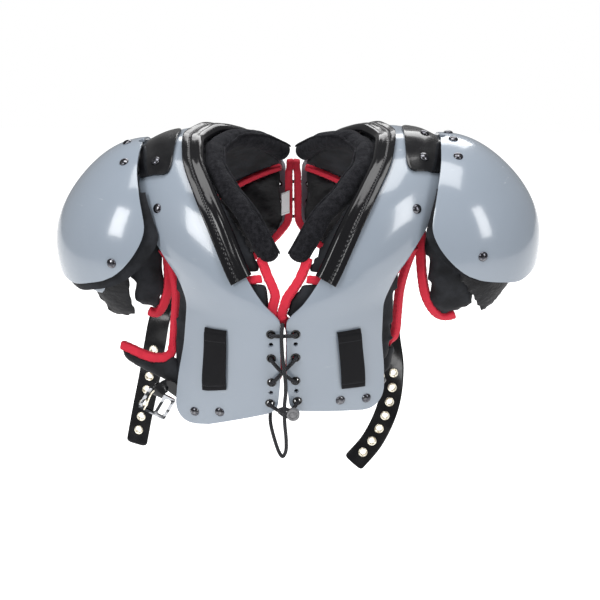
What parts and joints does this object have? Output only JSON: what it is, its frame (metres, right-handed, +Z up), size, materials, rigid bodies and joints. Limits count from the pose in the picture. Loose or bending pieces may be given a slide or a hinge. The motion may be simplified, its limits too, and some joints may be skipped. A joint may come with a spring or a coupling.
{
  "type": "football shoulder pad set",
  "caption": "Football shoulder pads: two hard arch plates over padding, laced front and back, with hinged shoulder domes, a padded collar, hanging belts and buckles.",
  "frame": {"origin": "between the wearer's shoulders, midway between the two shoulder domes, on the line where the pads rest on the shoulders", "axes": "+Z up, the chest faces -Y, +X to the side that is on the right when seen from the front"},
  "size_m": [0.506, 0.2829, 0.4139],
  "materials": {
    "plate": "glossy moulded polyethylene, light blue-grey",
    "trim": "glossy black ribbed channel",
    "vinyl": "glossy black vinyl-coated webbing",
    "elastic": "matt black woven elastic",
    "foam": "charcoal fabric over foam",
    "fleece": "black brushed fleece",
    "nylon": "black creased nylon",
    "tape": "red woven binding tape",
    "cord": "black braided cord",
    "lock": "charcoal moulded plastic",
    "chrome": "bright plated wire frame",
    "rivet": "polished black nickel",
    "label": "blank white woven label"
  },
  "bodies": {
    "root": {"arch_plate_left": "plate", "neck_trim_left": "trim", "neck_roll_left": "fleece", "chest_pad_left": "foam", "shoulder_pad_left": "foam", "back_pad_left": "nylon", "neck_edge_tape_left": "tape", "chest_seam_tape_left": "tape", "armhole_tape_left": "tape", "back_edge_tape_left": "tape", "back_seam_tape_left": "tape", "under_arm_pad_left": "foam", "under_arm_tape_left": "tape", "epaulet_left": "plate", "epaulet_foam_left": "foam", "deltoid_cap_left": "plate", "deltoid_pad_left": "nylon", "arm_pad_left": "foam", "arm_pad_tape_left": "tape", "hinge_strap_left": "vinyl", "belt_keeper_left": "elastic", "rear_belt_left": "vinyl", "buckle_left": "chrome", "buckle_strap_left": "vinyl", "strap_rivet_left": "rivet", "epaulet_rivet_left": "rivet", "hem_rivet_left": "rivet", "label_left": "label", "arch_plate_right": "plate", "neck_trim_right": "trim", "neck_roll_right": "fleece", "chest_pad_right": "foam", "shoulder_pad_right": "foam", "back_pad_right": "nylon", "neck_edge_tape_right": "tape", "chest_seam_tape_right": "tape", "armhole_tape_right": "tape", "back_edge_tape_right": "tape", "back_seam_tape_right": "tape", "under_arm_pad_right": "foam", "under_arm_tape_right": "tape", "epaulet_right": "plate", "epaulet_foam_right": "foam", "deltoid_cap_right": "plate", "deltoid_pad_right": "nylon", "arm_pad_right": "foam", "arm_pad_tape_right": "tape", "hinge_strap_right": "vinyl", "belt_keeper_right": "elastic", "rear_belt_right": "vinyl", "buckle_right": "chrome", "buckle_strap_right": "vinyl", "strap_rivet_right": "rivet", "epaulet_rivet_right": "rivet", "hem_rivet_right": "rivet", "front_lace": "cord", "lace_loop": "cord", "back_lace": "cord", "cord_lock": "lock"}
  },
  "joints": []
}
